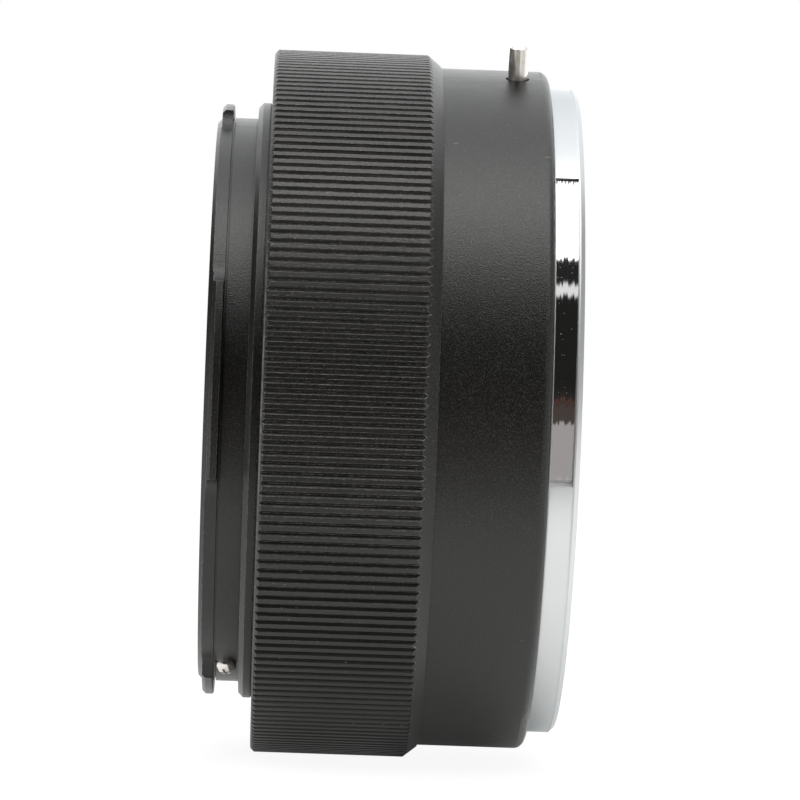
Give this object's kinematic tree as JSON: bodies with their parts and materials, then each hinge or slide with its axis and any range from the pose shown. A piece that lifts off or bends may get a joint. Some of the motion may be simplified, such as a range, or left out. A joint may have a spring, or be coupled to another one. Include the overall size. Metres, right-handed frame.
{
  "type": "lens mount adapter",
  "caption": "Ring-shaped lens mount adapter: lugged camera bayonet, ribbed aperture ring, plain barrel and bright lens mount plate with a push pin that frees the lens.",
  "frame": {"origin": "centre of the camera contact flange, on the optical axis", "axes": "+Z along the optical axis towards the lens, +X along the release pin"},
  "size_m": [0.0703, 0.0682, 0.0351],
  "materials": {
    "black_anodised": "satin black anodised",
    "blackened_steel": "blackened",
    "bright_steel": "bright turned",
    "spring_steel": "plain",
    "slider_brass": "milled",
    "plated_brass": "satin plated",
    "slip_plastic": "plain",
    "index_paint": "enamel fill"
  },
  "bodies": {
    "body": {"camera_bayonet": "black_anodised", "bayonet_screws": "blackened_steel", "bayonet_stop_screw": "bright_steel", "camera_index_dot": "index_paint", "main_barrel": "black_anodised", "lens_index_dot": "index_paint", "front_slip_washer": "slip_plastic", "rear_slip_washer": "slip_plastic", "lens_mount_plate": "plated_brass", "lens_mount_screws": "bright_steel", "bayonet_leaf_springs": "spring_steel", "leaf_spring_rivets": "bright_steel", "lock_spring": "spring_steel"},
    "ring": {"aperture_ring": "black_anodised", "aperture_lever": "blackened_steel", "lever_screws": "blackened_steel"},
    "lock": {"lock_slider": "slider_brass", "lock_pin": "bright_steel"},
    "release": {"release_pin": "bright_steel"}
  },
  "joints": [
    {"name": "aperture_turn", "type": "hinge", "parent": "body", "child": "ring", "pos_m": [0, 0, 0.009], "axis": [0, 0, 1], "range_deg": [0, 30]},
    {"name": "lock_retract", "type": "slide", "parent": "body", "child": "lock", "axis": [0, 0, -1], "range_m": [0, 0.0016], "stiffness_N_per_m": 500, "springref_m": -0.003, "deforming": ["lock_spring"]},
    {"name": "release_press", "type": "slide", "parent": "body", "child": "release", "axis": [-1, 0, 0], "range_m": [0, 0.0016]}
  ],
  "couplings": [
    {"joint": "release_press", "follows": "lock_retract", "ratio": 1}
  ]
}
